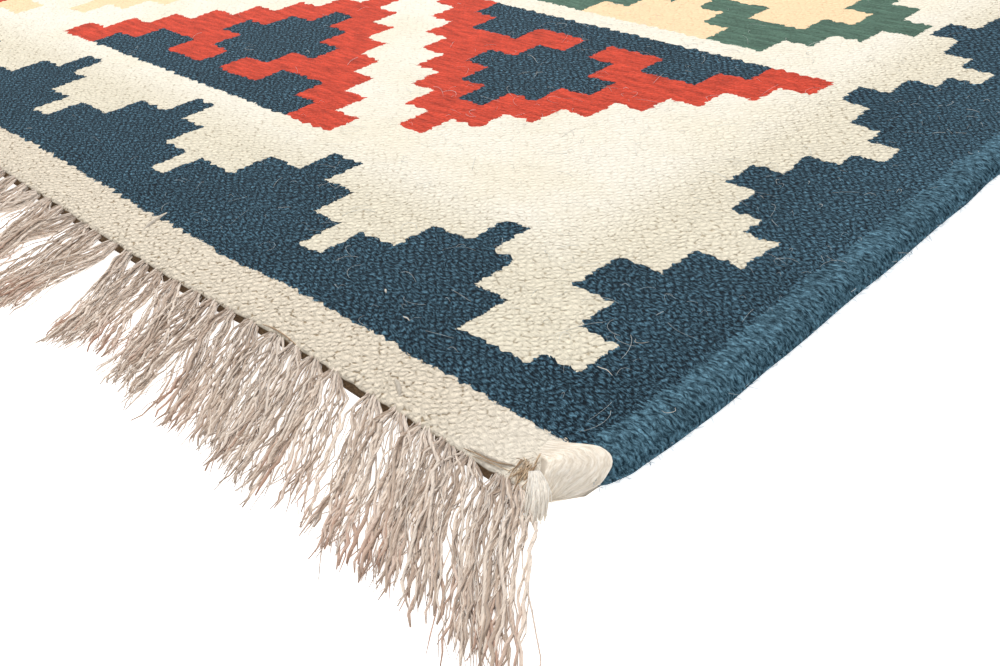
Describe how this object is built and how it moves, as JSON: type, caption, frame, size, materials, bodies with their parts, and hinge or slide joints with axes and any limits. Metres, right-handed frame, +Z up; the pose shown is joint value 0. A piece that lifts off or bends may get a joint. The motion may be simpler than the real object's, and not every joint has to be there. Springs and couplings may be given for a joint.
{
  "type": "kilim rug",
  "caption": "Flat-woven rug with stepped geometric motifs, a saw-edged border, corded selvedges, plain end bands and a combed-out warp fringe at both ends.",
  "frame": {"origin": "centre of the rug on the floor that it lies on", "axes": "+X across the rug along the wefts, +Y along the warps towards the far fringe, +Z up from the floor"},
  "size_m": [0.9622, 1.2772, 0.0046],
  "materials": {
    "woven_wool": "matte weft-faced wool in ivory, navy, brick red, sage green and pale yellow",
    "warp_fringe": "loose undyed two-ply warp yarn, taupe beige"
  },
  "bodies": {
    "root": {"kilim_cloth": "woven_wool", "fringe_near": "warp_fringe", "fringe_far": "warp_fringe"}
  },
  "joints": []
}
